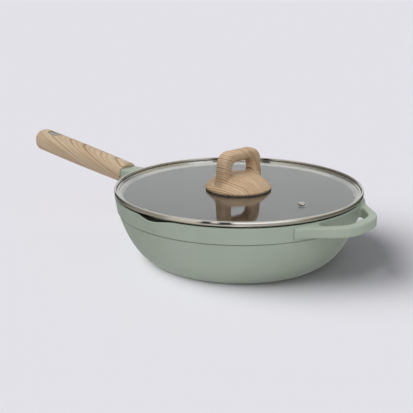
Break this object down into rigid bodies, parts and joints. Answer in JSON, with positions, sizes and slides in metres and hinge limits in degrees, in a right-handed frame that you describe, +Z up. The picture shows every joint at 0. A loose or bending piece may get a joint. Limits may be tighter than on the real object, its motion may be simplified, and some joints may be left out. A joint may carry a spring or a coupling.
{
  "type": "saute pan with lid",
  "caption": "Deep round saute pan with pouring spouts, a wood-look long handle, a helper loop and a flat glass lid with an arched knob that lifts off.",
  "frame": {"origin": "centre of the round base, on the surface that the pan stands on", "axes": "+Z up through the lid knob, +X to the helper handle, so that the long handle runs along -X"},
  "size_m": [0.5179, 0.2958, 0.124],
  "materials": {
    "enamelled_casting": "cast aluminium, satin sage-green enamel outside and dark grey non-stick inside",
    "base_steel": "circular brushed",
    "wood_grip": "satin, straight grain along the grip",
    "wood_knob": "satin, grain across the arch",
    "grey_liner": "matt grey",
    "fastener_steel": "satin",
    "polished_steel": "polished",
    "clear_glass": "clear, flat",
    "dark_silicone": "matt",
    "insert_brass": "machined"
  },
  "bodies": {
    "pan": {"pan_body": "enamelled_casting", "induction_base_plate": "base_steel", "handle_grip": "wood_grip", "hanging_eyelet": "grey_liner", "handle_screw": "fastener_steel", "handle_washer": "fastener_steel"},
    "lid": {"lid_glass": "clear_glass", "lid_rim": "polished_steel", "vent_eyelet": "polished_steel", "vent_washer": "fastener_steel", "lid_knob": "wood_knob", "knob_gasket": "dark_silicone", "knob_insert": "insert_brass", "knob_seal": "dark_silicone", "knob_washer": "fastener_steel", "knob_screw": "fastener_steel"}
  },
  "joints": [
    {"name": "lid_lift", "type": "slide", "parent": "pan", "child": "lid", "axis": [0, 0, 1], "range_m": [0, 0.15]}
  ]
}
